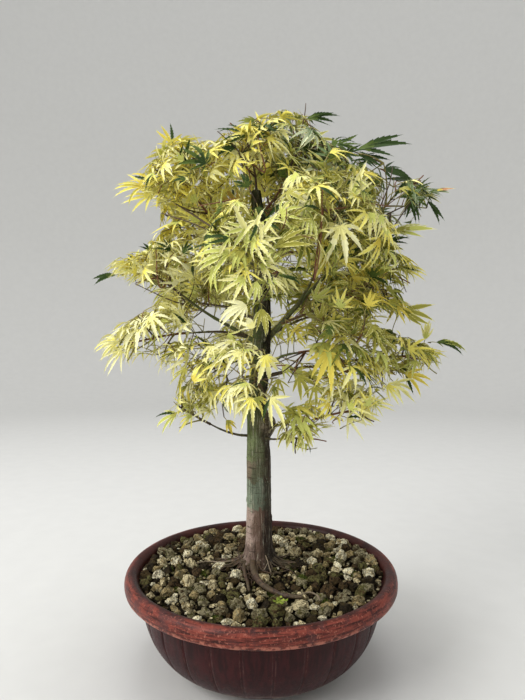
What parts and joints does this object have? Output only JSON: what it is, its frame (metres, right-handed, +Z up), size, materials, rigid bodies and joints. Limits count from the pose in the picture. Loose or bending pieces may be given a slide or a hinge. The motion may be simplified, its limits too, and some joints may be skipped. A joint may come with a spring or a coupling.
{
  "type": "japanese maple bonsai",
  "caption": "Japanese maple bonsai with yellow-green palmate leaves on a slim upright trunk, in a round glazed bowl topped with gravel.",
  "frame": {"origin": "centre of the bowl's flat underside", "axes": "+Z up along the bowl's axis; +X to the right and -Y towards the viewer in the picture"},
  "size_m": [0.3518, 0.2928, 0.5265],
  "materials": {
    "glaze": "satin dark red-brown glaze, worn to terracotta at the rim",
    "gravel": "matt cream and grey pumice grains",
    "bark": "smooth green-brown bark with fine upright streaks",
    "leaf": "matt yellow-green leaf",
    "leaf_green": "matt darker green leaf"
  },
  "bodies": {
    "root": {"pot": "glaze", "soil": "gravel", "trunk": "bark", "surface_root_front": "bark", "surface_root_front_left": "bark", "surface_root_left": "bark", "bough_upper_left": "bark", "bough_top_right": "bark", "bough_right_high": "bark", "bough_right_front": "bark", "bough_front_centre": "bark", "bough_right_mid": "bark", "bough_left_mid": "bark", "bough_left_low": "bark", "bough_left_inner": "bark", "bough_front_low": "bark", "bough_right_low": "bark", "bough_right_far": "bark", "bough_right_lowest": "bark", "bough_low_spray": "bark", "bough_left_lowest": "bark", "bough_back_top": "bark", "bough_back_left_high": "bark", "bough_back_right_high": "bark", "bough_back_centre": "bark", "bough_back_left_mid": "bark", "bough_back_right_mid": "bark", "bough_back_low": "bark", "foliage_upper_left": "leaf", "foliage_top_left": "leaf", "foliage_top_right": "leaf_green", "foliage_right_high": "leaf_green", "foliage_right_front": "leaf", "foliage_front_centre": "leaf", "foliage_right_mid": "leaf", "foliage_left_mid": "leaf", "foliage_left_low": "leaf", "foliage_left_inner": "leaf", "foliage_front_low": "leaf", "foliage_right_low": "leaf", "foliage_right_far": "leaf", "foliage_right_lowest": "leaf", "foliage_low_spray": "leaf", "foliage_left_lowest": "leaf", "foliage_back_top": "leaf", "foliage_back_left_high": "leaf", "foliage_back_right_high": "leaf", "foliage_back_centre": "leaf", "foliage_back_left_mid": "leaf", "foliage_back_right_mid": "leaf", "foliage_back_low": "leaf"}
  },
  "joints": []
}
